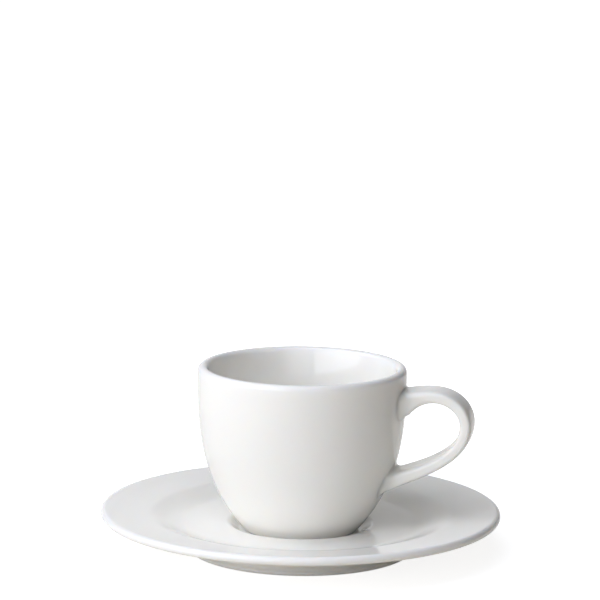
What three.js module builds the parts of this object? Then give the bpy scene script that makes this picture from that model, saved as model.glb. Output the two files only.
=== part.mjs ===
// Espresso cup and saucer in white glazed porcelain.
// Millimetres, +Z up. The origin lies on the table under the middle of the saucer.
// The handle points along +X. The cup stands loose in the saucer's well.

import * as THREE from "three";

// Saucer
const SAUCER_DIAMETER = 125;
const SAUCER_LIP_THICKNESS = 2.7;
const BRIM_WIDTH = 16.5;
const BRIM_RISE = 1.75;
const VERGE_WIDTH = 10;
const VERGE_HEIGHT = 2.7;
const BRIM_EDGE_ROUND = 2.4;
const DISH_THICKNESS = 4.2;
const WELL_DEPTH = 2.3;
const WELL_SIDE_WIDTH = 3.4;
const WELL_EDGE_ROUND = 0.8;
const WELL_BASE_THICKNESS = 4;
const SAUCER_FOOT_DIAMETER = 71.2;
const SAUCER_FOOT_WIDTH = 5;
const SAUCER_FOOT_HOLLOW = 2.2;
const SAUCER_FOOT_ROUND = 1.7;
const SAUCER_FOOT_WALL = 3.4;

// Bowl of the cup
const CUP_DIAMETER = 65;
const CUP_HEIGHT = 52;
const CUP_LIP_THICKNESS = 3.3;
const CUP_FOOT_DIAMETER = 34.8;
const CUP_FOOT_WIDTH = 2.6;
const CUP_FOOT_HOLLOW = 1.2;
const CUP_FOOT_ROUND = 0.7;
const CUP_FLOOR_THICKNESS = 4.4;
const BOWL_FLARE_ANGLE = 46.5;
const BOWL_INSIDE_TILT = 11.2;

// Shape of the bowl's two curves, as shares of the height and radius that they span
const BOWL_FLARE_SHARE = 0.43;
const BOWL_SIDE_SHARE = 0.3;
const INSIDE_SIDE_SHARE = 0.42;
const INSIDE_FLOOR_SHARE = 0.82;

// Handle: a strap on a looped centre line between two roots on the bowl
const HANDLE_WIDTH = 12;
const HANDLE_THICKNESS = 3.8;
const HANDLE_SQUARENESS = 4.6;
const HANDLE_REACH = 19.4;
const NOSE_DROP = 6.2;
const UPPER_ROOT_DROP = 9.9;
const UPPER_ROOT_ANGLE = 29.8;
const UPPER_FLARE = 4;
const UPPER_SPREAD = 0.6;
const UPPER_FLARE_LENGTH = 11.5;
const LOWER_ROOT_HEIGHT = 17.15;
const LOWER_ROOT_ANGLE = 26.5;
const LOWER_FLARE = 1.2;
const LOWER_SPREAD = 0.8;
const LOWER_FLARE_LENGTH = 23.7;

// Fullness of the handle's loop, as shares of its reach and of its fall to the lower root
const UPPER_RUN_SHARE = 0.65;
const CROWN_SHARE = 0.34;
const NOSE_FALL_SHARE = 0.62;
const LOWER_RUN_SHARE = 0.33;

// Fired slip that holds the handle's two ends to the bowl
const SLIP_FILLET = 1.2;
const SLIP_EDGE = 0.3;

// Clearances
const WELL_CLEARANCE = 1.7;
const HANDLE_GAP = 0.3;
const SLIP_GAP = 0.3;

// Fineness of the facets
const TURN_STEPS = 56;
const CURVE_STEPS = 12;
const ROUND_STEPS = 4;
const HANDLE_SIDES = 24;
const HANDLE_STEPS = 34;
const BISECTIONS = 40;

const DEGREE = Math.PI / 180;

// Heights above the table, and above the cup's own foot
const seatHeight = SAUCER_FOOT_HOLLOW + WELL_BASE_THICKNESS;
const dishHeight = seatHeight + WELL_DEPTH;
const brimHeight = dishHeight + VERGE_HEIGHT;
const saucerHeight = brimHeight + BRIM_RISE;
const cupLipRadius = CUP_LIP_THICKNESS / 2;
const cupLipHeight = CUP_HEIGHT - cupLipRadius;
const cupFloorHeight = CUP_FOOT_HOLLOW + CUP_FLOOR_THICKNESS;

// Radii
const saucerRadius = SAUCER_DIAMETER / 2;
const brimRadius = saucerRadius - BRIM_WIDTH;
const dishRadius = brimRadius - VERGE_WIDTH;
const saucerFootRadius = SAUCER_FOOT_DIAMETER / 2;
const cupRadius = CUP_DIAMETER / 2;
const cupFootRadius = CUP_FOOT_DIAMETER / 2;
const wellRadius = cupFootRadius + WELL_CLEARANCE;
const wellEdgeRadius = wellRadius + WELL_SIDE_WIDTH;

const porcelain = { color: 0xf3f2ee, roughness: 0.12, metalness: 0 };

// A point that lies a share of the way from one point to another.
function between(from, to, share) {
  return from.clone().lerp(to, share);
}

// Rounds the corner at a point with a curve that starts and ends a given length away from it.
function roundCorner(path, before, corner, after, length) {
  const start = between(corner, before, length / corner.distanceTo(before));
  const end = between(corner, after, length / corner.distanceTo(after));
  path.lineTo(start.x, start.y);
  path.quadraticCurveTo(corner.x, corner.y, end.x, end.y);
}

// Turns an outline of radius and height about the vertical axis.
function turned(points) {
  return new THREE.LatheGeometry(points, TURN_STEPS).rotateX(Math.PI / 2);
}

function namedMesh(name, geometry) {
  const mesh = new THREE.Mesh(geometry, new THREE.MeshStandardMaterial(porcelain));
  mesh.name = name;
  return mesh;
}

// Saucer: foot ring, underside, round lip, sloped brim, curved verge, dish and the cup's well.
function saucerGeometry() {
  const lipRadius = SAUCER_LIP_THICKNESS / 2;
  const lipCentre = new THREE.Vector2(saucerRadius - lipRadius, saucerHeight - lipRadius);
  const footInside = saucerFootRadius - SAUCER_FOOT_WIDTH;
  const innerRound = SAUCER_FOOT_ROUND / 2;
  const path = new THREE.Path();
  path.moveTo(0, SAUCER_FOOT_HOLLOW);
  path.lineTo(footInside - innerRound, SAUCER_FOOT_HOLLOW);
  path.quadraticCurveTo(footInside, SAUCER_FOOT_HOLLOW, footInside, SAUCER_FOOT_HOLLOW - innerRound);
  path.lineTo(footInside, innerRound);
  path.quadraticCurveTo(footInside, 0, footInside + innerRound, 0);
  path.lineTo(saucerFootRadius - SAUCER_FOOT_ROUND, 0);
  path.absarc(saucerFootRadius - SAUCER_FOOT_ROUND, SAUCER_FOOT_ROUND, SAUCER_FOOT_ROUND, -Math.PI / 2, 0);
  path.lineTo(saucerFootRadius, SAUCER_FOOT_WALL);
  const verge = { x: brimRadius, y: brimHeight - DISH_THICKNESS };
  const lipUnder = { x: lipCentre.x, y: lipCentre.y - lipRadius };
  path.bezierCurveTo(saucerFootRadius, verge.y, verge.x, verge.y, lipUnder.x, lipUnder.y);
  path.absarc(lipCentre.x, lipCentre.y, lipRadius, -Math.PI / 2, Math.PI / 2);
  const lipTop = new THREE.Vector2(lipCentre.x, saucerHeight);
  const brimEdge = new THREE.Vector2(brimRadius, brimHeight);
  const vergeFoot = new THREE.Vector2((brimRadius + dishRadius) / 2, dishHeight);
  const dishEdge = new THREE.Vector2(dishRadius, dishHeight);
  roundCorner(path, lipTop, brimEdge, vergeFoot, BRIM_EDGE_ROUND);
  path.quadraticCurveTo(vergeFoot.x, vergeFoot.y, dishEdge.x, dishEdge.y);
  const wellEdge = new THREE.Vector2(wellEdgeRadius, dishHeight);
  const wellFoot = new THREE.Vector2(wellRadius, seatHeight);
  roundCorner(path, dishEdge, wellEdge, wellFoot, WELL_EDGE_ROUND);
  roundCorner(path, wellEdge, wellFoot, new THREE.Vector2(0, seatHeight), WELL_EDGE_ROUND);
  path.lineTo(0, seatHeight);
  return turned(path.getPoints(ROUND_STEPS));
}

// The bowl's outside, from the foot's edge up to the lip.
const flareLength = cupLipHeight * BOWL_FLARE_SHARE;
const bowlOutside = new THREE.CubicBezierCurve(
  new THREE.Vector2(cupFootRadius, 0),
  new THREE.Vector2(
    cupFootRadius + flareLength * Math.cos(BOWL_FLARE_ANGLE * DEGREE),
    flareLength * Math.sin(BOWL_FLARE_ANGLE * DEGREE),
  ),
  new THREE.Vector2(cupRadius, cupLipHeight * (1 - BOWL_SIDE_SHARE)),
  new THREE.Vector2(cupRadius, cupLipHeight),
);

// The bowl's inside, from the lip down to the middle of the floor. It leans more than the outside.
function bowlInside() {
  const tilt = BOWL_INSIDE_TILT * DEGREE;
  const lipCentre = cupRadius - cupLipRadius;
  const start = new THREE.Vector2(
    lipCentre - cupLipRadius * Math.cos(tilt),
    cupLipHeight + cupLipRadius * Math.sin(tilt),
  );
  const sideLength = (start.y - cupFloorHeight) * INSIDE_SIDE_SHARE;
  return new THREE.CubicBezierCurve(
    start,
    new THREE.Vector2(start.x - sideLength * Math.sin(tilt), start.y - sideLength * Math.cos(tilt)),
    new THREE.Vector2(start.x * INSIDE_FLOOR_SHARE, cupFloorHeight),
    new THREE.Vector2(0, cupFloorHeight),
  );
}

// Bowl: foot ring, curved outside, round lip and leaning inside.
function bowlGeometry() {
  const footInside = cupFootRadius - CUP_FOOT_WIDTH;
  const tilt = BOWL_INSIDE_TILT * DEGREE;
  const foot = new THREE.Path();
  foot.moveTo(0, CUP_FOOT_HOLLOW);
  foot.lineTo(footInside - CUP_FOOT_ROUND, CUP_FOOT_HOLLOW);
  foot.quadraticCurveTo(footInside, CUP_FOOT_HOLLOW, footInside + CUP_FOOT_ROUND / 2, 0);
  foot.lineTo(cupFootRadius - CUP_FOOT_ROUND, 0);
  const sideStart = CUP_FOOT_ROUND / bowlOutside.getLength();
  const sidePoint = bowlOutside.getPointAt(sideStart);
  foot.quadraticCurveTo(cupFootRadius, 0, sidePoint.x, sidePoint.y);
  const points = foot.getPoints(ROUND_STEPS);
  for (let step = 1; step <= CURVE_STEPS; step += 1) {
    const share = sideStart + (1 - sideStart) * (step / CURVE_STEPS);
    points.push(bowlOutside.getPointAt(share));
  }
  const lip = new THREE.Path();
  lip.absarc(cupRadius - cupLipRadius, cupLipHeight, cupLipRadius, 0, Math.PI - tilt);
  points.push(...lip.getPoints(2 * ROUND_STEPS).slice(1));
  points.push(...bowlInside().getSpacedPoints(CURVE_STEPS).slice(1));
  return turned(points);
}

// Radius of the bowl's outside at a height above the cup's foot.
function bowlRadius(height) {
  let low = 0;
  let high = 1;
  for (let step = 0; step < BISECTIONS; step += 1) {
    const middle = (low + high) / 2;
    if (bowlOutside.getPoint(middle).y < height) {
      low = middle;
    } else {
      high = middle;
    }
  }
  return bowlOutside.getPoint(low).x;
}

// How far a point lies outside the bowl, measured level from the axis.
function bowlStandoff(point) {
  return Math.hypot(point.x, point.y) - bowlRadius(point.z);
}

// Moves a point level towards or away from the axis until it has a given standoff.
function atStandoff(point, standoff) {
  const scale = (bowlRadius(point.z) + standoff) / Math.hypot(point.x, point.y);
  return new THREE.Vector3(point.x * scale, point.y * scale, point.z);
}

// The handle's centre line runs from inside the wall, over the crown and the nose, back into the wall.
const upperRootHeight = CUP_HEIGHT - UPPER_ROOT_DROP;
const upperRoot = new THREE.Vector3(bowlRadius(upperRootHeight), 0, upperRootHeight);
const lowerRoot = new THREE.Vector3(bowlRadius(LOWER_ROOT_HEIGHT), 0, LOWER_ROOT_HEIGHT);
const nose = new THREE.Vector3(cupRadius + HANDLE_REACH, 0, upperRootHeight - NOSE_DROP);
const noseFall = nose.z - lowerRoot.z;
const rootDepth = cupRadius / 3;

function slanted(angle, length) {
  return new THREE.Vector3(length * Math.cos(angle * DEGREE), 0, length * Math.sin(angle * DEGREE));
}

function offset(point, x, z) {
  return new THREE.Vector3(point.x + x, 0, point.z + z);
}

const upperArm = new THREE.CubicBezierCurve3(
  upperRoot,
  upperRoot.clone().add(slanted(UPPER_ROOT_ANGLE, HANDLE_REACH * UPPER_RUN_SHARE)),
  offset(nose, 0, HANDLE_REACH * CROWN_SHARE),
  nose,
);
const lowerArm = new THREE.CubicBezierCurve3(
  nose,
  offset(nose, 0, -noseFall * NOSE_FALL_SHARE),
  lowerRoot.clone().add(slanted(LOWER_ROOT_ANGLE, noseFall * LOWER_RUN_SHARE)),
  lowerRoot,
);
const centreLine = new THREE.CurvePath();
centreLine.add(new THREE.LineCurve3(upperRoot.clone().sub(slanted(UPPER_ROOT_ANGLE, rootDepth)), upperRoot));
centreLine.add(upperArm);
centreLine.add(lowerArm);
centreLine.add(new THREE.LineCurve3(lowerRoot, lowerRoot.clone().sub(slanted(LOWER_ROOT_ANGLE, rootDepth))));
const lineLength = centreLine.getLength();
const noseDistance = rootDepth + upperArm.getLength();

// Thickness and width of the strap at a distance along the centre line. It swells towards both roots.
function strapSection(distance) {
  const toUpper = Math.min(Math.max(1 - (distance - rootDepth) / UPPER_FLARE_LENGTH, 0), 1);
  const toLower = Math.min(Math.max(1 - (lineLength - rootDepth - distance) / LOWER_FLARE_LENGTH, 0), 1);
  return {
    thickness: HANDLE_THICKNESS + UPPER_FLARE * toUpper ** 2 + LOWER_FLARE * toLower ** 2,
    width: HANDLE_WIDTH + UPPER_SPREAD * toUpper ** 2 + LOWER_SPREAD * toLower ** 2,
  };
}

function signedPower(value, power) {
  return Math.sign(value) * Math.abs(value) ** power;
}

// A point of the strap's skin, at an angle round its section, with the direction that faces out of it.
function strapPoint(distance, angle) {
  const share = distance / lineLength;
  const centre = centreLine.getPoint(share);
  const along = centreLine.getTangent(share);
  const across = new THREE.Vector3(-along.z, 0, along.x);
  const sideways = new THREE.Vector3(0, 1, 0);
  const section = strapSection(distance);
  const halfThickness = section.thickness / 2;
  const halfWidth = section.width / 2;
  const cosine = Math.cos(angle);
  const sine = Math.sin(angle);
  const point = centre
    .addScaledVector(across, halfThickness * signedPower(cosine, 2 / HANDLE_SQUARENESS))
    .addScaledVector(sideways, halfWidth * signedPower(sine, 2 / HANDLE_SQUARENESS));
  const outward = across
    .multiplyScalar(signedPower(cosine, 2 - 2 / HANDLE_SQUARENESS) / halfThickness)
    .addScaledVector(sideways, signedPower(sine, 2 - 2 / HANDLE_SQUARENESS) / halfWidth)
    .normalize();
  return { point, outward };
}

// Distance along the centre line at which one edge of the strap has a given standoff from the bowl.
function rootDistance(angle, endDistance, standoff) {
  let inside = endDistance;
  let outside = noseDistance;
  for (let step = 0; step < BISECTIONS; step += 1) {
    const middle = (inside + outside) / 2;
    if (bowlStandoff(strapPoint(middle, angle).point) < standoff) {
      inside = middle;
    } else {
      outside = middle;
    }
  }
  return outside;
}

function sectionAngle(side) {
  return (2 * Math.PI * side) / HANDLE_SIDES;
}

// Collects points and triangles into one mesh geometry.
function solid(points, triangles) {
  const geometry = new THREE.BufferGeometry();
  geometry.setFromPoints(points);
  geometry.setIndex(triangles.flat());
  return geometry;
}

// Triangles of the band of quads between two rings of points that start at given places in a list.
function band(firstRing, secondRing, count) {
  const triangles = [];
  for (let side = 0; side < count; side += 1) {
    const next = (side + 1) % count;
    triangles.push([firstRing + side, secondRing + next, firstRing + next]);
    triangles.push([firstRing + side, secondRing + side, secondRing + next]);
  }
  return triangles;
}

// Handle: its skin runs between the two curved end faces, which follow the bowl at the handle gap.
function handleGeometry() {
  const points = [];
  const triangles = [];
  const starts = [];
  const ends = [];
  for (let side = 0; side < HANDLE_SIDES; side += 1) {
    starts.push(rootDistance(sectionAngle(side), 0, HANDLE_GAP));
    ends.push(rootDistance(sectionAngle(side), lineLength, HANDLE_GAP));
  }
  for (let step = 0; step <= HANDLE_STEPS; step += 1) {
    for (let side = 0; side < HANDLE_SIDES; side += 1) {
      const distance = starts[side] + (ends[side] - starts[side]) * (step / HANDLE_STEPS);
      points.push(strapPoint(distance, sectionAngle(side)).point);
    }
    if (step > 0) {
      triangles.push(...band((step - 1) * HANDLE_SIDES, step * HANDLE_SIDES, HANDLE_SIDES));
    }
  }
  const lastRing = HANDLE_STEPS * HANDLE_SIDES;
  const upperCentre = points.push(atStandoff(upperRoot, HANDLE_GAP)) - 1;
  const lowerCentre = points.push(atStandoff(lowerRoot, HANDLE_GAP)) - 1;
  for (let side = 0; side < HANDLE_SIDES; side += 1) {
    const next = (side + 1) % HANDLE_SIDES;
    triangles.push([upperCentre, side, next]);
    triangles.push([lowerCentre, lastRing + next, lastRing + side]);
  }
  return solid(points, triangles);
}

// One bead of slip: a ring with a hollow face that runs from the bowl up onto the handle, round one root.
// The way round is 1 or -1, so that the skin faces out at both roots.
function slipGeometry(endDistance, wayRound) {
  const points = [];
  const triangles = [];
  let count = 0;
  for (let side = 0; side < HANDLE_SIDES; side += 1) {
    const angle = wayRound * sectionAngle(side);
    const root = strapPoint(rootDistance(angle, endDistance, SLIP_GAP), angle);
    const strap = strapPoint(rootDistance(angle, endDistance, SLIP_GAP + SLIP_FILLET), angle);
    const corner = atStandoff(root.point.clone().addScaledVector(root.outward, SLIP_GAP), SLIP_GAP);
    const wallEdge = root.point.clone().addScaledVector(root.outward, SLIP_GAP + SLIP_FILLET);
    const strapEdge = strap.point.clone().addScaledVector(strap.outward, SLIP_GAP);
    const hollow = new THREE.QuadraticBezierCurve3(
      atStandoff(wallEdge, SLIP_GAP + SLIP_EDGE),
      atStandoff(corner.clone().addScaledVector(root.outward, SLIP_EDGE), SLIP_GAP + SLIP_EDGE),
      strapEdge.clone().addScaledVector(strap.outward, SLIP_EDGE),
    );
    const section = [corner, atStandoff(wallEdge, SLIP_GAP), ...hollow.getPoints(ROUND_STEPS), strapEdge];
    count = section.length;
    points.push(...section);
  }
  for (let side = 0; side < HANDLE_SIDES; side += 1) {
    const next = (side + 1) % HANDLE_SIDES;
    triangles.push(...band(side * count, next * count, count));
  }
  return solid(points, triangles);
}

const cup = new THREE.Group();
cup.position.z = seatHeight;
cup.add(namedMesh("cup_bowl", bowlGeometry()));
cup.add(namedMesh("cup_handle", handleGeometry()));
cup.add(namedMesh("upper_slip_joint", slipGeometry(0, -1)));
cup.add(namedMesh("lower_slip_joint", slipGeometry(lineLength, 1)));

const group = new THREE.Group();
group.add(namedMesh("saucer", saucerGeometry()));
group.add(cup);

export default group;
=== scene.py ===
"""Finished look of an espresso cup and saucer: glazed ware, a studio floor, soft light and the camera."""

import math

import bmesh
import bpy
import numpy as np
from bpy.props import FloatProperty, FloatVectorProperty, PointerProperty
from bpy.types import Operator, Panel, PropertyGroup
from mathutils import Matrix, Vector


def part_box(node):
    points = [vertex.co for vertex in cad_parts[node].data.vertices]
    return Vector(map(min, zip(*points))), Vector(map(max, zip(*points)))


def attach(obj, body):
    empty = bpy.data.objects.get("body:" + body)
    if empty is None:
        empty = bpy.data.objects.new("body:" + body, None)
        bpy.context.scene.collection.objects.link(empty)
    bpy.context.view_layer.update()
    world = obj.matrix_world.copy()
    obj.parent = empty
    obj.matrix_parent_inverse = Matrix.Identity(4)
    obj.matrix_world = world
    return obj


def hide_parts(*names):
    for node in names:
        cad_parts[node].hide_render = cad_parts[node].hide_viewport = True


bl_info = {
    "name": "Espresso Cup and Saucer",
    "version": (1, 0, 0),
    "blender": (4, 5, 0),
    "location": "3D View > Sidebar > Espresso",
    "description": "Makes a white porcelain espresso cup and its saucer around a fixed frame",
    "category": "Object",
}

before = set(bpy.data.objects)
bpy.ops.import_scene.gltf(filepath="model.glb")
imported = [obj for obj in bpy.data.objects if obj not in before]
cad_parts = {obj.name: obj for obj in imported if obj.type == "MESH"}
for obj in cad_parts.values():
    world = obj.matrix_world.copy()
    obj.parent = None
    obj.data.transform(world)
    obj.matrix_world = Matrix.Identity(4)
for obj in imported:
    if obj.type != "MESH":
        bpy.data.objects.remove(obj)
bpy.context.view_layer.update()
saucer_low, saucer_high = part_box("saucer")
bowl_low, bowl_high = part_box("cup_bowl")

MM = 0.001
WHITE = (1.0, 1.0, 1.0, 1.0)

# How finely the turned ware is drawn
TURN_STEPS = 224
WELD = 0.001 * MM
SAME_POINT = 1e-9
OUTLINE_SPACING = 0.1 * MM
OUTLINE_EASE = 0.35 * MM
OUTLINE_STEP = 1.4 * MM
OUTLINE_TURN = math.radians(3)
# Pool: how hollow the outline is, which sets thick glaze and painted shade in hollows
POOL_EASE = 1.6 * MM
POOL_RADIUS = 4 * MM
VERGE_STEPS = 160
SIDE_STEPS = 400

# How finely the handle is drawn, and how its fillets end in the bowl's wall
STRAP_SIDES = 128
STRAP_STEPS = 200
FILLET_STEPS = 18
ROOT_POINTS = 100
LOOP_POINTS = 500
SECTION_POINTS = 2000
BISECTIONS = 40
SIDE_FILLET_POWER = 6
CORNER_FILLET_POWER = 2
FILLET_SINK = 0.012 * MM
FILLET_TUCK = 0.4 * MM
WALL_SHADE_FROM, WALL_SHADE_OVER = 0.6, 0.35
WALL_PROBE = 0.2 * MM

# Textures of the glaze: features per metre, and their detail
CLOUD_NOISE = (55.0, 2.0)
WIPE_NOISE = (400.0, 2.0)
GLOSS_NOISE = (140.0, 3.0)
RIPPLE_NOISE = (42.0, 1.0)
PEEL_NOISE = (900.0, 2.0)

# Where the glaze turns thick (with painted shade in hollows), thin, worn or wiped, and how light sinks into
# it
POOL_AND_SHADE_RANGE = (0.05, 0.9)
THIN_RANGE = (-0.15, -0.9)
CLOUD_RANGE, CLOUD_SHARES = (0.2, 0.6), (0.6, 1.0)
GLOSS_RANGE, GLOSS_SHARES = (0.3, 0.7), (0.8, 1.35)
WIPE_SOFTNESS = 0.2
GLAZE_IOR = 1.5
SINK_WEIGHT = 0.6
SINK_RADIUS = (1.0, 0.85, 0.7)
SINK_SCALE = 2 * MM

# Floor: what it throws back, what the camera sees, and where its shadow fades to white
FLOOR_HALF = 6.0
FLOOR_DROP = 0.02 * MM
FLOOR_BOUNCE = (0.755, 0.70, 0.60, 1.0)
FLOOR_SEEN = (0.5, 0.5, 0.5, 1.0)
FLOOR_IN_GLOSS = 0.5
SHADOW_NEAR, SHADOW_FAR = 0.10, 0.26
GLOW_NEAR, GLOW_FAR = 0.84, 1.0

# Lamps. Each has a name, a place (turn, rise) and a spread (across, up), in degrees
LAMP_DISTANCE = 1.3
LAMP_COLOUR = (0.954, 0.984, 1.08)
SOFTBOXES = (
    ("key", (-55, 45), (60, 36)),
    ("left", (-98, 45), (26, 36)),
    ("front", (-30, 21), (50, 12)),
    ("low", (-35, 8), (60, 14)),
    ("fill", (15, 20), (30, 24)),
    ("overhead", (-30, 75), (50, 30)),
)
BACKDROP_PLACE = (-165, 5)

# Camera
SENSOR_WIDTH = 36.0
CAMERA_CLIP = (0.05, 50.0)


def length(name, description, default):
    """A size in metres."""
    return FloatProperty(name=name, description=description, default=default, precision=5, unit="LENGTH")


def angle(name, description, degrees):
    """An angle, given here in degrees."""
    return FloatProperty(name=name, description=description, default=math.radians(degrees), subtype="ANGLE")


def share(name, description, default):
    """A plain number."""
    return FloatProperty(name=name, description=description, default=default, precision=4)


def colour(name, description, default):
    """A linear colour."""
    return FloatVectorProperty(name=name, description=description, default=default, size=3, subtype="COLOR")


class SaucerSizes(PropertyGroup):
    """Sizes of the saucer."""

    diameter: length("Diameter", "Across the lip", saucer_high.y - saucer_low.y)
    height: length("Height", "Table to the top of the lip", saucer_high.z)
    lip: length("Lip", "Thickness of the round lip", 2.7 * MM)
    brim_width: length("Brim Width", "Lip to the brim's inner edge", 16.5 * MM)
    brim_rise: length("Brim Rise", "Climb of the brim", 1.75 * MM)
    brim_ease: length("Brim Ease", "How far the verge's curve runs out into the brim", 2.0 * MM)
    verge_width: length("Verge Width", "Curved step between brim and dish", 10 * MM)
    verge_height: length("Verge Height", "Drop from brim to dish", 2.7 * MM)
    thickness: length("Thickness", "Body under the brim's inner edge", 4.2 * MM)
    well_clearance: length("Well Clearance", "Between the cup's foot and the well's side", 1.7 * MM)
    well_side: length("Well Side", "Width of the well's sloping side", 3.4 * MM)
    well_round: length("Well Round", "Rounding of the well's edge", 0.8 * MM)
    foot_diameter: length("Foot Diameter", "Across the foot ring", 71.2 * MM)
    foot_width: length("Foot Width", "Width of the foot ring", 5 * MM)
    foot_hollow: length("Foot Hollow", "Depth of the hollow inside the foot ring", 2.2 * MM)
    foot_round: length("Foot Round", "Rounding of the foot ring's edges", 0.9 * MM)
    foot_bead: length("Foot Bead", "Height of the bead round the foot's lower edge", 1.3 * MM)
    foot_groove: length("Foot Groove", "Depth of the groove above that bead", 0.9 * MM)
    foot_wall: length("Foot Wall", "Height at which the foot turns into the underside", 3.4 * MM)


class BowlSizes(PropertyGroup):
    """Sizes of the cup's bowl."""

    diameter: length("Diameter", "Across the lip", bowl_high.y - bowl_low.y)
    height: length("Height", "Foot to lip", bowl_high.z - bowl_low.z)
    seat: length("Seat", "Height of the foot above the table", bowl_low.z)
    lip: length("Lip", "Thickness of the round lip", 3.3 * MM)
    foot_diameter: length("Foot Diameter", "Across the foot", 34.8 * MM)
    foot_width: length("Foot Width", "Width of the foot ring", 2.6 * MM)
    foot_hollow: length("Foot Hollow", "Depth of the hollow under the floor", 1.2 * MM)
    foot_round: length("Foot Round", "Rounding of the foot's edge", 0.7 * MM)
    floor: length("Floor", "Thickness of the floor", 4.4 * MM)
    flare_angle: angle("Flare Angle", "Slope of the side at the foot", 46.5)
    inside_tilt: angle("Inside Tilt", "Lean of the inside at the lip", 11.2)
    flare_share: share("Flare Share", "How far the foot's slope carries up the side", 0.43)
    side_share: share("Side Share", "How far the upright side carries down", 0.3)
    inside_side_share: share("Inside Side Share", "How far the inside's lean carries down", 0.42)
    inside_floor_share: share("Inside Floor Share", "How far the flat floor carries out", 0.82)


class HandleSizes(PropertyGroup):
    """Sizes of the handle."""

    width: length("Width", "Across the strap", 12 * MM)
    thickness: length("Thickness", "Through the strap at its nose", 3.8 * MM)
    squareness: share("Squareness", "Power of the section's curve, 2 for an ellipse", 4.6)
    reach: length("Reach", "Lip to the middle of the strap at its nose", 19.4 * MM)
    nose_drop: length("Nose Drop", "Upper root down to the nose", 6.2 * MM)
    upper_drop: length("Upper Drop", "Lip down to the upper root", 9.9 * MM)
    upper_angle: angle("Upper Angle", "Slope of the strap at the upper root", 29.8)
    upper_flare: length("Upper Flare", "Extra thickness at the upper root", 4 * MM)
    upper_spread: length("Upper Spread", "Extra width at the upper root", 0.6 * MM)
    upper_flare_length: length("Upper Flare Length", "How far that swelling runs", 11.5 * MM)
    lower_height: length("Lower Height", "Foot up to the lower root", 17.15 * MM)
    lower_angle: angle("Lower Angle", "Slope of the strap at the lower root", 26.5)
    lower_flare: length("Lower Flare", "Extra thickness at the lower root", 1.2 * MM)
    lower_spread: length("Lower Spread", "Extra width at the lower root", 0.8 * MM)
    lower_flare_length: length("Lower Flare Length", "How far that swelling runs", 23.7 * MM)
    upper_run: share("Upper Run", "How far the upper root's slope carries", 0.65)
    crown: share("Crown", "Fullness of the loop above the nose", 0.34)
    nose_fall: share("Nose Fall", "Fullness of the loop below the nose", 0.62)
    lower_run: share("Lower Run", "How far the lower root's slope carries", 0.33)
    fillet: length("Fillet", "Slip fillet above and below a root", 0.9 * MM)
    side_fillet: length("Side Fillet", "Slip fillet beside a root", 3.6 * MM)
    corner_fillet: length("Corner Fillet", "Slip fillet in the loop's lower corner", 2.8 * MM)


class GlazeLook(PropertyGroup):
    """Colours and finish of the porcelain."""

    body: colour("Body", "White glaze over porcelain", (0.965, 0.94, 0.876))
    # Pooled tint: warmer, darker glaze in hollows, partly real glaze pooling and partly painted shade
    pooled_and_shaded: colour("Pooled", "Where the glaze lies thick in hollows", (0.955, 0.905, 0.81))
    thin: colour("Thin", "Where the glaze draws thin on edges", (0.965, 0.945, 0.895))
    bare: colour("Bare", "Unglazed porcelain under the foot rings", (0.80, 0.77, 0.70))
    roughness: share("Roughness", "Of the fired glaze", 0.06)
    bare_roughness: share("Bare Roughness", "Of the unglazed foot", 0.62)
    ripple: length("Ripple", "Height of the glaze's slow waves", 0.008 * MM)
    peel: length("Peel", "Height of the glaze's fine skin", 0.0006 * MM)
    bare_height: length("Bare Height", "How far up the foot the glaze is wiped off", 0.35 * MM)


class StageLook(PropertyGroup):
    """Camera, floor and lamps."""

    turn: angle("Turn", "Camera round from the front, towards the handle", 10)
    elevation: angle("Elevation", "Camera above the table's plane", 12.98)
    distance: length("Distance", "Camera to the aim", 1.019)
    aim_height: length("Aim Height", "Point on the cup's axis that places the camera", 0.03)
    pitch: angle("Pitch", "Lifts the view above the aim, so the cup sits low in the frame", 2.70)
    yaw: angle("Yaw", "Turns the view left of the aim", 0.057)
    roll: angle("Roll", "Tilt of the frame", 0.72)
    lens: share("Lens", "Focal length in millimetres on a 36 mm sensor", 195.7)
    key: share("Key", "Brightness of the large softbox at the left", 1.93)
    left: share("Left", "Brightness of the softbox round at the far left", 1.25)
    front: share("Front", "Brightness of the softbox at the front left", 2.45)
    low: share("Low", "Brightness of the low softbox at the front left", 3.2)
    fill: share("Fill", "Brightness of the softbox at the front", 1.27)
    overhead: share("Overhead", "Brightness of the softbox overhead", 2.0)
    backdrop: share("Backdrop", "Brightness of the lit backdrop behind the object", 0.85)
    backdrop_spread: angle("Backdrop Spread", "How far the backdrop's glow reaches", 24)


# Outlines of turned ware, as rows of radius and height


def line(start, end, steps=8):
    """Points on a straight line."""
    amount = np.linspace(0, 1, steps + 1)[:, None]
    return (1 - amount) * np.array(start) + amount * np.array(end)


def arc(centre, radius, start, end, steps=24):
    """Points on a circle, from one angle in degrees to another."""
    turn = np.radians(np.linspace(start, end, steps + 1))
    return np.array(centre) + radius * np.stack([np.cos(turn), np.sin(turn)], axis=1)


def bend(start, control, end, steps=16):
    """Points on a curve that leaves towards its control point and arrives from it."""
    amount = np.linspace(0, 1, steps + 1)[:, None]
    first, middle, last = np.array(start), np.array(control), np.array(end)
    return (1 - amount) ** 2 * first + 2 * (1 - amount) * amount * middle + amount**2 * last


def sweep(start, leave, arrive, end, steps=80):
    """Points on a cubic curve."""
    amount = np.linspace(0, 1, steps + 1)[:, None]
    rest = 1 - amount
    points = [np.array(point, float) for point in (start, leave, arrive, end)]
    weights = [rest**3, 3 * rest**2 * amount, 3 * rest * amount**2, amount**3]
    return sum(weight * point for weight, point in zip(weights, points))


def towards(point, other, distance):
    """The point that lies a distance from one point on the way to another."""
    point, other = np.array(point, float), np.array(other, float)
    return point + (other - point) * (distance / np.linalg.norm(other - point))


def corner(before, point, after, size):
    """A rounded corner between two straight stretches."""
    return bend(towards(point, before, size), point, towards(point, after, size))


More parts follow.
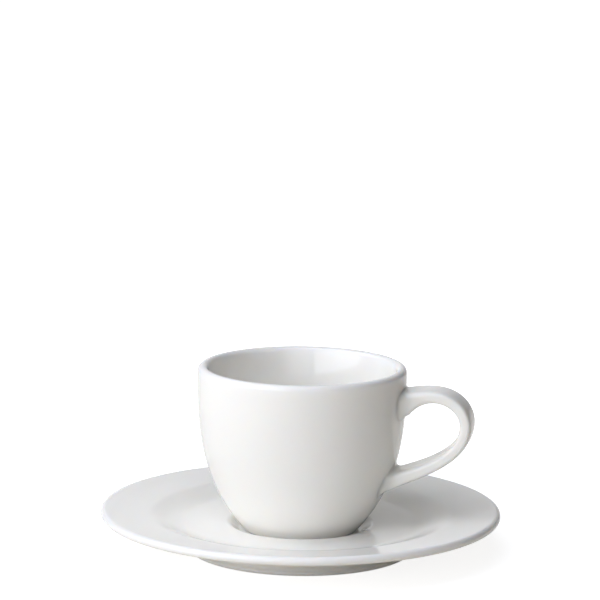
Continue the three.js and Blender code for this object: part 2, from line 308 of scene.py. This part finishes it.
def resampled(points, spacing):
    """The same outline with evenly spaced points."""
    keep = np.r_[True, np.linalg.norm(np.diff(points, axis=0), axis=1) > SAME_POINT]
    points = points[keep]
    along = np.r_[0, np.cumsum(np.linalg.norm(np.diff(points, axis=0), axis=1))]
    places = np.linspace(0, along[-1], int(along[-1] / spacing) + 1)
    return np.stack([np.interp(places, along, points[:, axis]) for axis in range(2)], axis=1)


def softened(points, spacing, blur):
    """An evenly spaced outline whose turns are eased over a blur length. Its ends stay on the axis."""
    reach = int(4 * blur / spacing)
    kernel = np.exp(-0.5 * (np.arange(-reach, reach + 1) * spacing / blur) ** 2)
    kernel /= kernel.sum()
    mirror = np.array([-1, 1])
    padded = np.vstack([points[reach:0:-1] * mirror, points, points[-2 : -reach - 2 : -1] * mirror])
    return np.stack([np.convolve(padded[:, axis], kernel, "valid") for axis in range(2)], axis=1)


def bending(points, spacing):
    """Signed curvature along an evenly spaced outline, positive in hollows."""
    slope = np.gradient(points, spacing, axis=0)
    change = np.gradient(slope, spacing, axis=0)
    return -(slope[:, 0] * change[:, 1] - slope[:, 1] * change[:, 0])


def thinned(points, values, turn_limit, length_limit):
    """Keeps the points that the outline needs: more where it turns, fewer where it runs straight."""
    step = np.diff(points, axis=0)
    heading = np.unwrap(np.arctan2(step[:, 1], step[:, 0]))
    turning = np.r_[0, np.abs(np.diff(heading)), 0]
    spent = np.cumsum(turning / turn_limit + np.r_[0, np.linalg.norm(step, axis=1)] / length_limit)
    keep = np.r_[True, np.diff(np.floor(spent)) > 0]
    keep[-1] = True
    return points[keep], values[keep]


def finished_outline(pieces):
    """Joins the stretches of an outline, eases it as glaze does, and works out where glaze pools, which also
    places painted shade in hollows.
    """
    even = resampled(np.vstack(pieces), OUTLINE_SPACING)
    eased = softened(even, OUTLINE_SPACING, OUTLINE_EASE)
    slow = softened(even, OUTLINE_SPACING, POOL_EASE)
    # Positive in hollows (thick glaze plus painted shade), negative on edges (thin glaze)
    pool = np.clip(bending(slow, OUTLINE_SPACING) * POOL_RADIUS, -1, 1)
    eased[[0, -1], 0] = 0
    return thinned(eased, pool, OUTLINE_TURN, OUTLINE_STEP)


def saucer_outline(sizes, bowl):
    """Foot hollow, foot ring, underside, lip, brim, verge, dish and well."""
    radius = sizes.diameter / 2
    lip = sizes.lip / 2
    lip_centre = (radius - lip, sizes.height - lip)
    foot = sizes.foot_diameter / 2
    foot_inside = foot - sizes.foot_width
    rounding = sizes.foot_round
    ceiling = sizes.foot_hollow
    brim = (radius - sizes.brim_width, sizes.height - sizes.brim_rise)
    dish_height = brim[1] - sizes.verge_height
    dish = (brim[0] - sizes.verge_width, dish_height)
    well_floor = (bowl.foot_diameter / 2 + sizes.well_clearance, bowl.seat)
    well_edge = (well_floor[0] + sizes.well_side, dish_height)
    under = brim[1] - sizes.thickness
    lip_under = (lip_centre[0], lip_centre[1] - lip)
    lip_top = (lip_centre[0], sizes.height)
    centre = (0, bowl.seat)
    groove = foot - sizes.foot_groove
    bead = sizes.foot_bead
    radii = np.linspace(lip_top[0], dish[0], VERGE_STEPS)
    slope = sizes.brim_rise / (lip_top[0] - brim[0])
    above = sizes.height - slope * (lip_top[0] - radii) - dish_height
    ease = np.clip((radii - dish[0]) / (brim[0] + sizes.brim_ease - dish[0]), 0, 1)
    top = np.stack([radii, dish_height + above * ease**2 * (3 - 2 * ease)], axis=1)
    return finished_outline([
        line((0, ceiling), (foot_inside - rounding, ceiling)),
        bend((foot_inside - rounding, ceiling), (foot_inside, ceiling), (foot_inside, ceiling - rounding)),
        bend((foot_inside, rounding), (foot_inside, 0), (foot_inside + rounding, 0)),
        arc((foot - rounding, rounding), rounding, -90, 0),
        bend((foot, bead), (groove, bead), (groove, bead + sizes.foot_groove)),
        sweep((groove, sizes.foot_wall), (groove, under), (brim[0], under), lip_under),
        arc(lip_centre, lip, -90, 90),
        top,
        corner(dish, well_edge, well_floor, sizes.well_round),
        corner(well_edge, well_floor, centre, sizes.well_round),
        line(well_floor, centre)[-2:],
    ])


def bowl_side(sizes):
    """The bowl's outside from foot to lip, in its own heights."""
    lip = sizes.lip / 2
    top = sizes.height - lip
    foot = sizes.foot_diameter / 2
    radius = sizes.diameter / 2
    flare = top * sizes.flare_share
    leave = (foot + flare * math.cos(sizes.flare_angle), flare * math.sin(sizes.flare_angle))
    return sweep((foot, 0), leave, (radius, top * (1 - sizes.side_share)), (radius, top), SIDE_STEPS)


def bowl_outline(sizes):
    """Foot hollow, foot ring, outside, lip, inside and floor."""
    lip = sizes.lip / 2
    top = sizes.height - lip
    lip_radius = sizes.diameter / 2 - lip
    tilt = sizes.inside_tilt
    foot = sizes.foot_diameter / 2
    foot_inside = foot - sizes.foot_width
    floor = sizes.foot_hollow + sizes.floor
    side = bowl_side(sizes)
    side = side[np.linalg.norm(side - side[0], axis=1) > sizes.foot_round]
    start = np.array([lip_radius - lip * math.cos(tilt), top + lip * math.sin(tilt)])
    run = (start[1] - floor) * sizes.inside_side_share
    leave = start - run * np.array([math.sin(tilt), math.cos(tilt)])
    points, pool = finished_outline([
        line((0, sizes.foot_hollow), (foot_inside - sizes.foot_round, sizes.foot_hollow)),
        bend(
            (foot_inside - sizes.foot_round, sizes.foot_hollow),
            (foot_inside, sizes.foot_hollow),
            (foot_inside + sizes.foot_round / 2, 0),
        ),
        bend((foot - sizes.foot_round, 0), (foot, 0), side[0]),
        side,
        arc((lip_radius, top), lip, 0, 180 - math.degrees(tilt)),
        sweep(start, leave, (start[0] * sizes.inside_floor_share, floor), (0, floor)),
    ])
    return points + np.array([0, sizes.seat]), pool


# Geometry Nodes tree that turns an outline about the vertical axis


def add_node(tree, kind, **settings):
    """Adds a node and sets its own options."""
    node = tree.nodes.new(kind)
    for name, value in settings.items():
        setattr(node, name, value)
    return node


def set_inputs(tree, node, values):
    """Links a socket or sets a plain value for each named or numbered input."""
    for key, value in values.items():
        if isinstance(value, bpy.types.NodeSocket):
            tree.links.new(value, node.inputs[key])
        else:
            node.inputs[key].default_value = value
    return node


def calculate(tree, operation, *values):
    """One step of arithmetic on numbers."""
    node = add_node(tree, "ShaderNodeMath", operation=operation)
    return set_inputs(tree, node, dict(enumerate(values))).outputs[0]


def sample_outline(tree, outline, value, index, kind):
    """Reads a value of the outline at a point's number."""
    node = add_node(tree, "GeometryNodeSampleIndex", data_type=kind)
    return set_inputs(tree, node, {"Geometry": outline, "Value": value, "Index": index}).outputs["Value"]


def turning_tree():
    """Wraps a grid round the axis: one way counts the turn, the other the outline's points."""
    tree = bpy.data.node_groups.new("turned_ware", "GeometryNodeTree")
    sockets = tree.interface
    sockets.new_socket("Outline", in_out="INPUT", socket_type="NodeSocketGeometry")
    sockets.new_socket("Turn Steps", in_out="INPUT", socket_type="NodeSocketInt")
    sockets.new_socket("Weld", in_out="INPUT", socket_type="NodeSocketFloat")
    sockets.new_socket("Glaze", in_out="INPUT", socket_type="NodeSocketMaterial")
    sockets.new_socket("Ware", in_out="OUTPUT", socket_type="NodeSocketGeometry")
    inputs = add_node(tree, "NodeGroupInput").outputs
    size = add_node(tree, "GeometryNodeAttributeDomainSize")
    count = set_inputs(tree, size, {"Geometry": inputs["Outline"]}).outputs["Point Count"]
    grid = set_inputs(tree, add_node(tree, "GeometryNodeMeshGrid"), {
        "Size X": 1.0,
        "Size Y": 1.0,
        "Vertices X": calculate(tree, "ADD", inputs["Turn Steps"], 1),
        "Vertices Y": count,
    })
    place = add_node(tree, "GeometryNodeInputPosition").outputs[0]
    split = set_inputs(tree, add_node(tree, "ShaderNodeSeparateXYZ"), {0: place}).outputs
    turn = calculate(tree, "MULTIPLY_ADD", split["X"], 2 * math.pi, math.pi)
    amount = calculate(tree, "ADD", split["Y"], 0.5)
    last = calculate(tree, "SUBTRACT", count, 1)
    index = calculate(tree, "ROUND", calculate(tree, "MULTIPLY", amount, last))
    point = sample_outline(tree, inputs["Outline"], place, index, "FLOAT_VECTOR")
    # Pool value carried onto the ware: thick glaze and painted shade in hollows
    pool_name = set_inputs(tree, add_node(tree, "GeometryNodeInputNamedAttribute"), {"Name": "pool"})
    pool = sample_outline(tree, inputs["Outline"], pool_name.outputs["Attribute"], index, "FLOAT")
    turned = set_inputs(tree, add_node(tree, "ShaderNodeVectorRotate", rotation_type="Z_AXIS"), {
        "Vector": point,
        "Angle": turn,
    })
    store = set_inputs(tree, add_node(tree, "GeometryNodeStoreNamedAttribute"), {
        "Geometry": grid.outputs["Mesh"],
        "Name": "glaze_pool_and_shade",
        "Value": pool,
    })
    wrapped = set_inputs(tree, add_node(tree, "GeometryNodeSetPosition"), {
        "Geometry": store.outputs[0],
        "Position": turned.outputs[0],
    })
    welded = set_inputs(tree, add_node(tree, "GeometryNodeMergeByDistance"), {
        "Geometry": wrapped.outputs[0],
        "Distance": inputs["Weld"],
    })
    smooth = set_inputs(tree, add_node(tree, "GeometryNodeSetShadeSmooth"), {"Geometry": welded.outputs[0]})
    real = set_inputs(tree, add_node(tree, "GeometryNodeRealizeInstances"), {"Geometry": smooth.outputs[0]})
    glazed = set_inputs(tree, add_node(tree, "GeometryNodeSetMaterial"), {
        "Geometry": real.outputs[0],
        "Material": inputs["Glaze"],
    })
    set_inputs(tree, add_node(tree, "NodeGroupOutput"), {"Ware": glazed.outputs[0]})
    return tree


def new_piece(name, mesh):
    """An object at the origin that holds a mesh."""
    piece = bpy.data.objects.new(name, mesh)
    bpy.context.scene.collection.objects.link(piece)
    return piece


def clean_mesh(mesh):
    """Welds doubles and points every face outwards."""
    work = bmesh.new()
    work.from_mesh(mesh)
    bmesh.ops.remove_doubles(work, verts=work.verts, dist=WELD)
    bmesh.ops.dissolve_degenerate(work, edges=work.edges, dist=WELD / 10)
    bmesh.ops.recalc_face_normals(work, faces=work.faces)
    for face in work.faces:
        face.smooth = True
    open_edges = [edge for edge in work.edges if len(edge.link_faces) != 2]
    if open_edges:
        raise RuntimeError(f"{mesh.name} has {len(open_edges)} open edges")
    work.to_mesh(mesh)
    work.free()
    mesh.update()


def turned_piece(name, outline, pool, material):
    """Turns an outline into a glazed piece by way of the node tree."""
    mesh = bpy.data.meshes.new(name + "_outline")
    mesh.from_pydata([(radius, 0, height) for radius, height in outline], [], [])
    mesh.attributes.new("pool", "FLOAT", "POINT").data.foreach_set("value", pool.astype(np.float32))
    piece = new_piece(name, mesh)
    tree = turning_tree()
    modifier = piece.modifiers.new("turned_ware", "NODES")
    modifier.node_group = tree
    names = {item.name: item.identifier for item in tree.interface.items_tree if item.in_out == "INPUT"}
    modifier[names["Turn Steps"]] = TURN_STEPS
    modifier[names["Weld"]] = WELD
    modifier[names["Glaze"]] = material
    drawn = piece.evaluated_get(bpy.context.evaluated_depsgraph_get())
    piece.data = bpy.data.meshes.new_from_object(drawn)
    piece.data.name = name
    piece.modifiers.clear()
    clean_mesh(piece.data)
    return piece


# Handle


class Strap:
    """The handle's strap: a centre line that loops from one root on the bowl to the other."""

    def __init__(self, sizes, bowl):
        side = bowl_side(bowl)
        self.sizes = sizes
        self.side_heights = side[:, 1] + bowl.seat
        self.side_radii = side[:, 0]
        radius = bowl.diameter / 2
        upper_height = bowl.seat + bowl.height - sizes.upper_drop
        lower_height = bowl.seat + sizes.lower_height
        self.upper = np.array([self.bowl_radius(upper_height), upper_height])
        self.lower = np.array([self.bowl_radius(lower_height), lower_height])
        nose = np.array([radius + sizes.reach, upper_height - sizes.nose_drop])
        fall = nose[1] - lower_height
        upper_way = np.array([math.cos(sizes.upper_angle), math.sin(sizes.upper_angle)])
        lower_way = np.array([math.cos(sizes.lower_angle), math.sin(sizes.lower_angle)])
        self.root_depth = radius / 3
        rise = np.array([0, 1])
        crown = nose + rise * sizes.reach * sizes.crown
        dip = nose - rise * fall * sizes.nose_fall
        upper_run = self.upper + upper_way * sizes.reach * sizes.upper_run
        lower_run = self.lower + lower_way * fall * sizes.lower_run
        points = np.vstack([
            line(self.upper - upper_way * self.root_depth, self.upper, ROOT_POINTS)[:-1],
            sweep(self.upper, upper_run, crown, nose, LOOP_POINTS)[:-1],
            sweep(nose, dip, lower_run, self.lower, LOOP_POINTS)[:-1],
            line(self.lower, self.lower - lower_way * self.root_depth, ROOT_POINTS),
        ])
        steps = np.linalg.norm(np.diff(points, axis=0), axis=1)
        self.along = np.r_[0, np.cumsum(steps)]
        self.points = points
        self.headings = np.gradient(points, self.along, axis=0)
        self.length = self.along[-1]
        self.nose_distance = self.along[np.argmax(points[:, 0])]

    def bowl_radius(self, height):
        """Radius of the bowl's outside at a height above the table."""
        return np.interp(height, self.side_heights, self.side_radii)

    def section(self, distance):
        """Thickness and width of the strap along its centre line. It swells towards both roots."""
        sizes = self.sizes
        to_upper = np.clip(1 - (distance - self.root_depth) / sizes.upper_flare_length, 0, 1) ** 2
        from_end = self.length - self.root_depth - distance
        to_lower = np.clip(1 - from_end / sizes.lower_flare_length, 0, 1) ** 2
        thickness = sizes.thickness + sizes.upper_flare * to_upper + sizes.lower_flare * to_lower
        return thickness, sizes.width + sizes.upper_spread * to_upper + sizes.lower_spread * to_lower

    def skin(self, distance, turn):
        """Points of the strap's skin and the directions that face out of it."""
        centre = np.stack([np.interp(distance, self.along, self.points[:, axis]) for axis in range(2)])
        heading = np.stack([np.interp(distance, self.along, self.headings[:, axis]) for axis in range(2)])
        heading /= np.linalg.norm(heading, axis=0)
        power = 2 / self.sizes.squareness
        thickness, width = self.section(distance)
        half_thickness, half_width = thickness / 2, width / 2
        cosine, sine = np.cos(turn), np.sin(turn)
        across = half_thickness * np.sign(cosine) * np.abs(cosine) ** power
        sideways = half_width * np.sign(sine) * np.abs(sine) ** power
        along, up = centre[0] - heading[1] * across, centre[1] + heading[0] * across
        points = np.stack([along, sideways, up], axis=-1)
        out_across = np.sign(cosine) * np.abs(cosine) ** (2 - power) / half_thickness
        out_sideways = np.sign(sine) * np.abs(sine) ** (2 - power) / half_width
        outward = np.stack([-heading[1] * out_across, out_sideways, heading[0] * out_across], axis=-1)
        return points, outward / np.linalg.norm(outward, axis=-1, keepdims=True)

    def standoff(self, points):
        """How far points lie outside the bowl, measured level from the axis."""
        return np.hypot(points[:, 0], points[:, 1]) - self.bowl_radius(points[:, 2])

    def at_standoff(self, points, standoff):
        """Moves points level towards or away from the axis until they have a standoff."""
        scale = (self.bowl_radius(points[:, 2]) + standoff) / np.hypot(points[:, 0], points[:, 1])
        return np.stack([points[:, 0] * scale, points[:, 1] * scale, points[:, 2]], axis=1)

    def root(self, end, turn, standoff):
        """Distances along the centre line at which the strap's edges have a standoff from the bowl."""
        inside = np.full(len(turn), float(end))
        outside = np.full(len(turn), self.nose_distance)
        for _ in range(BISECTIONS):
            middle = (inside + outside) / 2
            buried = self.standoff(self.skin(middle, turn)[0]) < standoff
            inside = np.where(buried, middle, inside)
            outside = np.where(buried, outside, middle)
        return outside

    def fillet(self, end, turn):
        """Radius of the fillet round a root: larger beside the strap, and in the loop's lower corner."""
        sizes = self.sizes
        beside = np.sin(turn) ** SIDE_FILLET_POWER
        radius = sizes.fillet + (sizes.side_fillet - sizes.fillet) * beside
        if end:
            in_loop = np.clip(-np.cos(turn), 0, 1) ** CORNER_FILLET_POWER
            radius += (sizes.corner_fillet - sizes.fillet) * in_loop
        return radius


def even_turns(strap):
    """Angles round the strap's section that space its points evenly."""
    fine = np.linspace(0, 2 * np.pi, SECTION_POINTS)
    points, _ = strap.skin(np.full(SECTION_POINTS, strap.nose_distance), fine)
    along = np.r_[0, np.cumsum(np.linalg.norm(np.diff(points, axis=0), axis=1))]
    return np.interp(np.linspace(0, along[-1], STRAP_SIDES + 1)[:-1], along, fine)


def fillet_rings(strap, end, turn):
    """Rings from the strap's clean skin out onto the bowl, along a round fillet, with how deep each pools,
    which also paints shade into the crease.
    """
    radius = strap.fillet(end, turn)
    rings = []
    for amount in np.linspace(0, 1, FILLET_STEPS + 1)[1:]:
        swing = amount * math.pi / 2
        standoff = radius * (1 - math.sin(swing))
        spread = radius * (1 - math.cos(swing))
        points, outward = strap.skin(strap.root(end, turn, standoff), turn)
        sunk = standoff - FILLET_SINK * amount**4
        # The amount gives the fillet the pooled tint: thick glaze and painted shade in the crease between
        # handle and bowl
        rings.append((strap.at_standoff(points + outward * spread[:, None], sunk), amount))
    beyond = points + outward * (radius + FILLET_TUCK)[:, None]
    rings.append((strap.at_standoff(beyond, -4 * FILLET_SINK), 1.0))
    return rings


def blend_normals(mesh, strap):
    """Lets the fillets take on the bowl's own shading where they run out onto it."""
    normals = []
    pool = mesh.attributes["glaze_pool_and_shade"].data
    for vert in mesh.vertices:
        amount = min(max((pool[vert.index].value - WALL_SHADE_FROM) / WALL_SHADE_OVER, 0), 1)
        amount *= amount * (3 - 2 * amount)
        x, y, z = vert.co
        above, below = strap.bowl_radius(z + WALL_PROBE), strap.bowl_radius(z - WALL_PROBE)
        slope = (above - below) / (2 * WALL_PROBE)
        wall = Vector((x, y, -slope * math.hypot(x, y))).normalized()
        normals.append(vert.normal.lerp(wall, amount).normalized())
    mesh.normals_split_custom_set_from_vertices(normals)


def handle_mesh(sizes, bowl):
    """Rings of points from one root to the other, capped inside the bowl's wall."""
    strap = Strap(sizes, bowl)
    turn = even_turns(strap)
    first = strap.root(0, turn, strap.fillet(0, turn))
    last = strap.root(strap.length, turn, strap.fillet(strap.length, turn))
    upper = fillet_rings(strap, 0, turn)
    lower = fillet_rings(strap, strap.length, turn)
    middle = []
    for amount in np.linspace(0, 1, STRAP_STEPS + 1):
        middle.append((strap.skin(first + (last - first) * amount, turn)[0], 0.0))
    rings = upper[::-1] + middle + lower
    work = bmesh.new()
    pool_layer = work.verts.layers.float.new("glaze_pool_and_shade")
    rows = []
    for points, pool in rings:
        row = [work.verts.new(point) for point in points]
        for vert in row:
            vert[pool_layer] = pool
        rows.append(row)
    for row, following in zip(rows, rows[1:]):
        for side in range(STRAP_SIDES):
            after = (side + 1) % STRAP_SIDES
            work.faces.new((row[side], row[after], following[after], following[side]))
    work.faces.new(rows[0])
    work.faces.new(rows[-1])
    mesh = bpy.data.meshes.new("glazed_handle")
    work.to_mesh(mesh)
    work.free()
    clean_mesh(mesh)
    blend_normals(mesh, strap)
    return mesh


# Materials


def new_material(name):
    """An empty node material."""
    material = bpy.data.materials.new(name)
    material.use_nodes = True
    material.node_tree.nodes.clear()
    return material


def noise(tree, place, scale, detail):
    """Soft random texture on the object's own coordinates, with features of about one over the scale."""
    node = add_node(tree, "ShaderNodeTexNoise")
    return set_inputs(tree, node, {"Vector": place, "Scale": scale, "Detail": detail}).outputs[0]


def ranged(tree, value, low, high, to_low=0.0, to_high=1.0):
    """Maps a value from one range to another and stops at its ends."""
    node = add_node(tree, "ShaderNodeMapRange", interpolation_type="SMOOTHSTEP")
    return set_inputs(tree, node, {0: value, 1: low, 2: high, 3: to_low, 4: to_high}).outputs[0]


def blended(tree, amount, first, second):
    """Mixes two colours."""
    node = add_node(tree, "ShaderNodeMix", data_type="RGBA")
    values = {0: amount, 6: first, 7: second}
    return set_inputs(tree, node, values).outputs[2]


def opaque(colour_value):
    """A colour with full alpha."""
    return (*colour_value, 1.0)


def bumped(tree, height, distance, normal=None):
    """Turns a height into a tilt of the surface."""
    values = {"Height": height, "Distance": distance, "Strength": 1.0}
    if normal:
        values["Normal"] = normal
    return set_inputs(tree, add_node(tree, "ShaderNodeBump"), values).outputs[0]


def glaze_material(name, look, foot_height):
    """White glaze: thick and darker in hollows, partly real pooling and partly painted shade, thin on edges,
    faintly rippled, and wiped off under the foot.
    """
    material = new_material(name)
    tree = material.node_tree
    place = add_node(tree, "ShaderNodeTexCoord").outputs["Object"]
    pool = add_node(tree, "ShaderNodeAttribute", attribute_name="glaze_pool_and_shade").outputs["Fac"]
    cloud = ranged(tree, noise(tree, place, *CLOUD_NOISE), *CLOUD_RANGE, *CLOUD_SHARES)
    # Hollows take the pooled tint: glaze pooling and painted shade
    pooled_and_shaded = calculate(tree, "MULTIPLY", ranged(tree, pool, *POOL_AND_SHADE_RANGE), cloud)
    tinted = blended(tree, pooled_and_shaded, opaque(look.body), opaque(look.pooled_and_shaded))
    tinted = blended(tree, ranged(tree, pool, *THIN_RANGE), tinted, opaque(look.thin))
    height = set_inputs(tree, add_node(tree, "ShaderNodeSeparateXYZ"), {0: place}).outputs["Z"]
    ragged = noise(tree, place, *WIPE_NOISE)
    wiped = calculate(tree, "MULTIPLY_ADD", ragged, look.bare_height, height)
    edge = foot_height + look.bare_height
    soft = look.bare_height * WIPE_SOFTNESS
    bare = ranged(tree, wiped, edge + soft, edge - soft)
    tinted = blended(tree, bare, tinted, opaque(look.bare))
    smoothest, roughest = [look.roughness * part for part in GLOSS_SHARES]
    gloss = ranged(tree, noise(tree, place, *GLOSS_NOISE), *GLOSS_RANGE, smoothest, roughest)
    spread = set_inputs(tree, add_node(tree, "ShaderNodeMix"), {0: bare, 2: gloss, 3: look.bare_roughness})
    ripple = bumped(tree, noise(tree, place, *RIPPLE_NOISE), look.ripple)
    skin = bumped(tree, noise(tree, place, *PEEL_NOISE), look.peel, ripple)
    shader = set_inputs(tree, add_node(tree, "ShaderNodeBsdfPrincipled"), {
        "Base Color": tinted,
        "Roughness": spread.outputs[0],
        "IOR": GLAZE_IOR,
        "Subsurface Weight": SINK_WEIGHT,
        "Subsurface Radius": SINK_RADIUS,
        "Subsurface Scale": SINK_SCALE,
        "Normal": skin,
    })
    set_inputs(tree, add_node(tree, "ShaderNodeOutputMaterial"), {"Surface": shader.outputs[0]})
    return material


def floor_material():
    """Pale floor. The camera and reflections see it as white, apart from the object's soft shadow."""
    material = new_material("white_floor")
    tree = material.node_tree
    rays = add_node(tree, "ShaderNodeLightPath").outputs
    seen = calculate(tree, "MAXIMUM", rays["Is Camera Ray"], rays["Is Transmission Ray"])
    seen = calculate(tree, "MULTIPLY_ADD", rays["Is Glossy Ray"], FLOOR_IN_GLOSS, seen)
    place = add_node(tree, "ShaderNodeTexCoord").outputs["Object"]
    distance = set_inputs(tree, add_node(tree, "ShaderNodeVectorMath", operation="LENGTH"), {0: place})
    strength = ranged(tree, distance.outputs["Value"], SHADOW_NEAR, SHADOW_FAR, GLOW_NEAR, GLOW_FAR)
    matt = set_inputs(tree, add_node(tree, "ShaderNodeBsdfDiffuse"), {"Color": FLOOR_BOUNCE}).outputs[0]
    soft = set_inputs(tree, add_node(tree, "ShaderNodeBsdfDiffuse"), {"Color": FLOOR_SEEN}).outputs[0]
    glow = set_inputs(tree, add_node(tree, "ShaderNodeEmission"), {"Color": WHITE, "Strength": strength})
    both = set_inputs(tree, add_node(tree, "ShaderNodeAddShader"), {0: soft, 1: glow.outputs[0]}).outputs[0]
    mixed = set_inputs(tree, add_node(tree, "ShaderNodeMixShader"), {0: seen, 1: matt, 2: both})
    set_inputs(tree, add_node(tree, "ShaderNodeOutputMaterial"), {"Surface": mixed.outputs[0]})
    return material


# Stage


def direction(turn, rise):
    """Unit vector to a place round the object: turn from the front to the right, rise above the table."""
    return Vector((math.sin(turn) * math.cos(rise), -math.cos(turn) * math.cos(rise), math.sin(rise)))


def studio_world(look):
    """White to the camera. Other rays see a dark room with a lit backdrop behind the object."""
    world = bpy.data.worlds.new("studio")
    world.use_nodes = True
    tree = world.node_tree
    tree.nodes.clear()
    rays = add_node(tree, "ShaderNodeLightPath").outputs
    seen = calculate(tree, "MAXIMUM", rays["Is Camera Ray"], rays["Is Transmission Ray"])
    way = add_node(tree, "ShaderNodeTexCoord").outputs["Generated"]
    middle = direction(*map(math.radians, BACKDROP_PLACE))
    aligned = add_node(tree, "ShaderNodeVectorMath", operation="DOT_PRODUCT")
    set_inputs(tree, aligned, {0: way, 1: middle})
    apart = calculate(tree, "ARCCOSINE", aligned.outputs["Value"])
    steps = calculate(tree, "POWER", calculate(tree, "DIVIDE", apart, look.backdrop_spread), 2.0)
    glow = calculate(tree, "EXPONENT", calculate(tree, "MULTIPLY", steps, -0.5))
    strength = calculate(tree, "MAXIMUM", seen, calculate(tree, "MULTIPLY", glow, look.backdrop))
    back = set_inputs(tree, add_node(tree, "ShaderNodeBackground"), {"Color": WHITE, "Strength": strength})
    set_inputs(tree, add_node(tree, "ShaderNodeOutputWorld"), {"Surface": back.outputs[0]})
    bpy.context.scene.world = world


def softbox(name, place, spread, brightness, aim):
    """A lamp of an angular size that faces the aim. The camera doesn't see it, and reflections do."""
    lamp = bpy.data.lights.new(name, "AREA")
    lamp.shape = "RECTANGLE"
    lamp.size, lamp.size_y = [2 * LAMP_DISTANCE * math.tan(math.radians(size / 2)) for size in spread]
    lamp.energy = math.pi * lamp.size * lamp.size_y * brightness
    lamp.color = LAMP_COLOUR
    holder = bpy.data.objects.new(name, lamp)
    back = direction(*map(math.radians, place))
    holder.location = aim + back * LAMP_DISTANCE
    holder.rotation_euler = back.to_track_quat("Z", "Y").to_euler()
    holder.visible_camera = False
    bpy.context.scene.collection.objects.link(holder)


def studio_camera(look):
    """Camera at the photograph's viewing angle, with the cup low in a square frame."""
    data = bpy.data.cameras.new("studio_camera")
    data.lens = look.lens
    data.sensor_width = SENSOR_WIDTH
    data.clip_start, data.clip_end = CAMERA_CLIP
    camera = bpy.data.objects.new("studio_camera", data)
    aim = Vector((0, 0, look.aim_height))
    back = direction(look.turn, look.elevation)
    facing = back.to_track_quat("Z", "Y").to_matrix()
    for turned, axis in ((look.pitch, "X"), (look.yaw, "Y"), (look.roll, "Z")):
        facing = facing @ Matrix.Rotation(turned, 3, axis)
    camera.matrix_world = Matrix.Translation(aim + back * look.distance) @ facing.to_4x4()
    bpy.context.scene.collection.objects.link(camera)
    bpy.context.scene.camera = camera


class ESPRESSO_OT_saucer(Operator):
    """Make the glazed saucer in place of its frame solid."""

    bl_idname = "espresso.saucer"
    bl_label = "Saucer"

    def execute(self, context):
        scene = context.scene
        outline, pool = saucer_outline(scene.espresso_saucer, scene.espresso_bowl)
        material = glaze_material("saucer_glaze", scene.espresso_glaze, 0.0)
        piece = turned_piece("glazed_saucer", outline, pool, material)
        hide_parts("saucer")
        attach(piece, "saucer")
        return {"FINISHED"}


class ESPRESSO_OT_bowl(Operator):
    """Make the cup's glazed bowl in place of its frame solid."""

    bl_idname = "espresso.bowl"
    bl_label = "Bowl"

    def execute(self, context):
        scene = context.scene
        outline, pool = bowl_outline(scene.espresso_bowl)
        material = glaze_material("cup_glaze", scene.espresso_glaze, scene.espresso_bowl.seat)
        piece = turned_piece("glazed_bowl", outline, pool, material)
        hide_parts("cup_bowl")
        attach(piece, "cup")
        return {"FINISHED"}


class ESPRESSO_OT_handle(Operator):
    """Make the glazed handle and its slip fillets in place of their frame solids."""

    bl_idname = "espresso.handle"
    bl_label = "Handle"

    def execute(self, context):
        scene = context.scene
        mesh = handle_mesh(scene.espresso_handle, scene.espresso_bowl)
        mesh.materials.append(bpy.data.materials["cup_glaze"])
        piece = new_piece("glazed_handle", mesh)
        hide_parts("cup_handle", "upper_slip_joint", "lower_slip_joint")
        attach(piece, "cup")
        return {"FINISHED"}


class ESPRESSO_OT_stage(Operator):
    """Make the floor, the room light, the lamps and the camera."""

    bl_idname = "espresso.stage"
    bl_label = "Stage"

    def execute(self, context):
        look = context.scene.espresso_stage
        mesh = bpy.data.meshes.new("studio_floor")
        corners = [(x * FLOOR_HALF, y * FLOOR_HALF, 0) for x, y in ((-1, -1), (1, -1), (1, 1), (-1, 1))]
        mesh.from_pydata(corners, [], [(0, 1, 2, 3)])
        mesh.materials.append(floor_material())
        floor = new_piece("studio_floor", mesh)
        floor.location.z = -FLOOR_DROP
        aim = Vector((0, 0, look.aim_height))
        studio_world(look)
        for name, place, spread in SOFTBOXES:
            softbox(name + "_softbox", place, spread, getattr(look, name), aim)
        studio_camera(look)
        context.scene.view_settings.view_transform = "Standard"
        return {"FINISHED"}


class ESPRESSO_PT_panel(Panel):
    """Lists the pieces and the stage."""

    bl_idname = "ESPRESSO_PT_panel"
    bl_label = "Espresso Cup and Saucer"
    bl_space_type = "VIEW_3D"
    bl_region_type = "UI"
    bl_category = "Espresso"

    def draw(self, context):
        for operator in OPERATORS:
            self.layout.operator(operator.bl_idname)
        for name in GROUPS:
            group = getattr(context.scene, name)
            box = self.layout.box()
            box.label(text=type(group).__name__)
            for key in type(group).__annotations__:
                box.prop(group, key)


GROUPS = {
    "espresso_saucer": SaucerSizes,
    "espresso_bowl": BowlSizes,
    "espresso_handle": HandleSizes,
    "espresso_glaze": GlazeLook,
    "espresso_stage": StageLook,
}
OPERATORS = (ESPRESSO_OT_saucer, ESPRESSO_OT_bowl, ESPRESSO_OT_handle, ESPRESSO_OT_stage)


def register():
    """Registers the properties, operators and panel."""
    for kind in (*GROUPS.values(), *OPERATORS, ESPRESSO_PT_panel):
        bpy.utils.register_class(kind)
    for name, group in GROUPS.items():
        setattr(bpy.types.Scene, name, PointerProperty(type=group))


def unregister():
    """Takes the panel, operators and properties away again."""
    for name in GROUPS:
        delattr(bpy.types.Scene, name)
    for kind in (ESPRESSO_PT_panel, *reversed(OPERATORS), *GROUPS.values()):
        bpy.utils.unregister_class(kind)


def main():
    """Makes every piece and the stage."""
    register()
    bpy.ops.espresso.saucer()
    bpy.ops.espresso.bowl()
    bpy.ops.espresso.handle()
    bpy.ops.espresso.stage()


if __name__ == "__main__":
    main()
